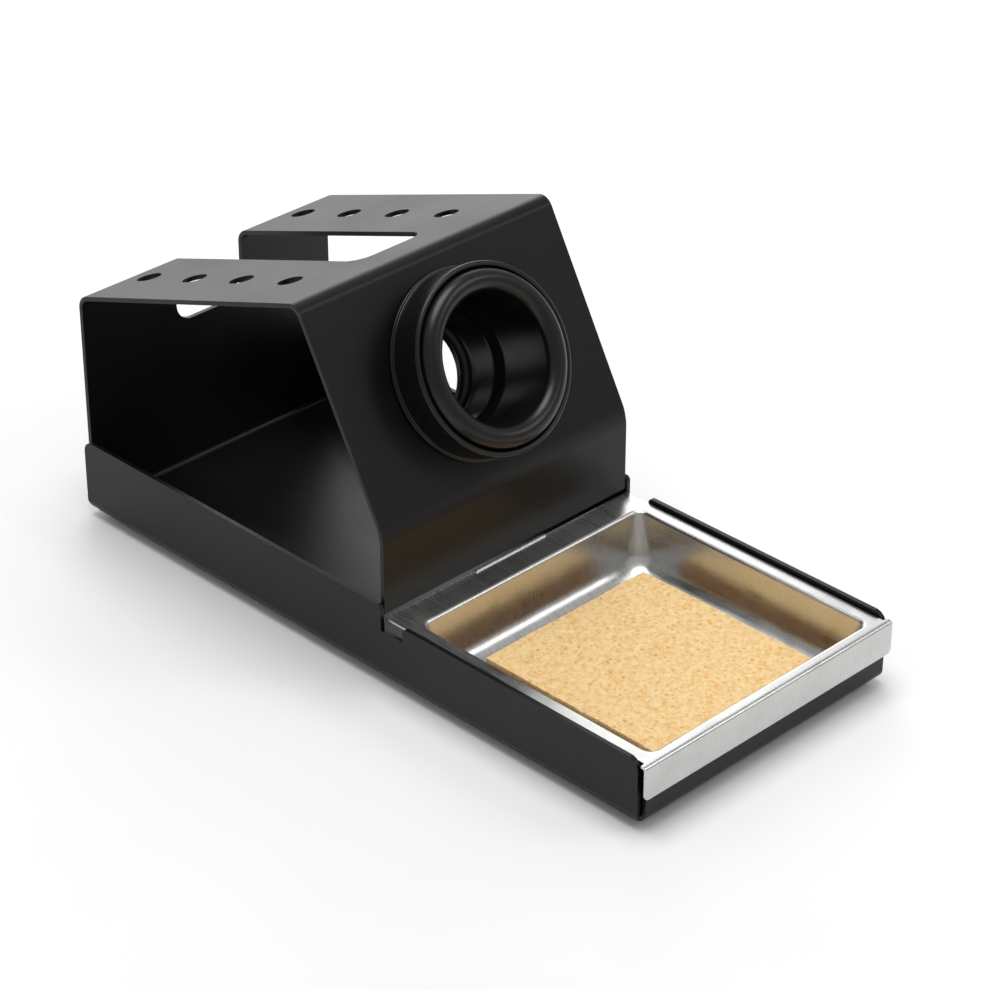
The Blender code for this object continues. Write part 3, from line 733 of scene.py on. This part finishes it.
cellulose, shader, node, link = new_material("pressed_cellulose")
place = node("ShaderNodeTexCoord").outputs["Object"]
mottle = node("ShaderNodeTexNoise", {"Vector": place, "Scale": 620.0, "Detail": 6.0,
                                     "Roughness": 0.68})
height = node("ShaderNodeSeparateXYZ", {"Vector": place}).outputs["Z"]
# Depth below the top, used for painted shade that browns the sides and deep pores.
below_top = node("ShaderNodeMapRange", {"Value": height, "From Min": sponge_high.z - 0.0016,
                                        "From Max": sponge_high.z - 0.0004})
flecks = node("ShaderNodeTexNoise", {"Vector": place, "Scale": 520.0, "Detail": 3.0,
                                     "Distortion": 0.6})
cells = node("ShaderNodeTexVoronoi", {"Vector": place, "Scale": 900.0})
holes = node("ShaderNodeTexVoronoi", {"Vector": place, "Scale": 420.0})
base = ramp(node, mottle.outputs["Fac"], [(0.25, (0.70, 0.45, 0.20)),
                                          (0.50, (0.84, 0.60, 0.30)),
                                          (0.78, (0.93, 0.73, 0.43))])
fleck_mask = ramp(node, flecks.outputs["Fac"], [(0.60, 0.0), (0.70, 1.0)])
orange = node("ShaderNodeMix", {0: fleck_mask, 6: base, 7: (0.80, 0.46, 0.15, 1)},
              data_type="RGBA")
# Painted shade: the colour darkens towards the middle of each pore and hole, where shade falls
# inside them.
painted_pore_shade = ramp(node, cells.outputs["Distance"], [(0.10, (0.90, 0.80, 0.64)), (0.48, 1.0)])
painted_hole_shade = ramp(node, holes.outputs["Distance"], [(0.06, (0.84, 0.68, 0.46)), (0.30, 1.0)])
shaded = node("ShaderNodeMix", {0: 1.0, 6: orange.outputs[2], 7: painted_pore_shade},
              data_type="RGBA", blend_type="MULTIPLY")
pore_shaded_colour = node("ShaderNodeMix", {0: 1.0, 6: shaded.outputs[2], 7: painted_hole_shade},
                data_type="RGBA", blend_type="MULTIPLY")
# Painted shade: the colour darkens to brown below the top, on the sides and in deep pores, where
# shade falls.
painted_depth_shade = ramp(node, below_top.outputs["Result"], [(0.0, (0.50, 0.34, 0.18)), (0.85, 1.0)])
depth_shaded_colour = node("ShaderNodeMix", {0: 1.0, 6: pore_shaded_colour.outputs[2], 7: painted_depth_shade},
              data_type="RGBA", blend_type="MULTIPLY")
link(depth_shaded_colour.outputs[2], "Base Color")
shader.inputs["Roughness"].default_value = 0.95
shader.inputs["Specular IOR Level"].default_value = 0.2
coarse = node("ShaderNodeBump", {"Height": holes.outputs["Distance"], "Strength": 0.45,
                                 "Distance": 0.0003})
small = node("ShaderNodeBump", {"Height": cells.outputs["Distance"], "Strength": 0.5,
                                "Distance": 0.00016, "Normal": coarse.outputs["Normal"]})
link(small.outputs["Normal"], "Normal")
sponge.data.materials.append(cellulose)
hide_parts("sponge")
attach(sponge, "sponge")

# ---- Studio --------------------------------------------------------------------------------
# A pale bench top that runs out of view, a large soft light overhead, one behind the tray's
# right, a low broad one that glances off the hood's top, a small one at the front right for the
# basin, and an even pale surround.

bpy.ops.object.select_all(action="DESELECT")
bpy.ops.mesh.primitive_plane_add(size=6, location=(0, 0, 0))
floor = bpy.context.active_object
floor.name = "studio_floor"
paper, shader, node, link = new_material("studio_paper")
place = node("ShaderNodeTexCoord").outputs["Object"]
fibre = node("ShaderNodeTexNoise", {"Vector": place, "Scale": 14.0, "Detail": 3.0})
link(ramp(node, fibre.outputs["Fac"], [(0.3, 0.88), (0.7, 0.90)]), "Base Color")
shader.inputs["Roughness"].default_value = 0.9
shader.inputs["Specular IOR Level"].default_value = 0.1
floor.data.materials.append(paper)

surround = bpy.data.worlds.new("studio_surround")
surround.use_nodes = True
surround.node_tree.nodes["Background"].inputs["Color"].default_value = (1.0, 1.0, 1.0, 1)
surround.node_tree.nodes["Background"].inputs["Strength"].default_value = 0.46
bpy.context.scene.world = surround

stand_middle = (cad_box[0] + cad_box[1]) / 2
for light_name, light_spot, light_size, watts in (
        ("key_softbox", (0.0, 0.05, 1.30), 0.9, 10.8),
        ("rear_softbox", (0.80, 0.95, 0.75), 0.8, 2.6),
        ("rear_panel", (0.90, 1.20, 0.14), 1.6, 7.5),
        ("front_softbox", (0.74, -0.80, 0.84), 0.45, 1.7)):
    lamp = bpy.data.lights.new(light_name, "AREA")
    lamp.shape = "DISK"
    lamp.size = light_size
    lamp.energy = watts
    lamp_object = bpy.data.objects.new(light_name, lamp)
    lamp_object.location = light_spot
    aim = stand_middle - Vector(light_spot)
    lamp_object.rotation_euler = aim.to_track_quat("-Z", "Y").to_euler()
    bpy.context.scene.collection.objects.link(lamp_object)

camera = bpy.data.cameras.new("product_camera")
camera.lens = 122
camera.sensor_width = 36
camera.clip_start = 0.01
camera_object = bpy.data.objects.new("product_camera", camera)
camera_object.location = (-0.5047, front_y - 0.4166, base_z + 0.4586)
camera_aim = Vector((0.004, -0.004, 0.0300)) - camera_object.location
camera_object.rotation_euler = camera_aim.to_track_quat("-Z", "Y").to_euler()
bpy.context.scene.collection.objects.link(camera_object)
bpy.context.scene.camera = camera_object
bpy.context.scene.view_settings.view_transform = "Standard"
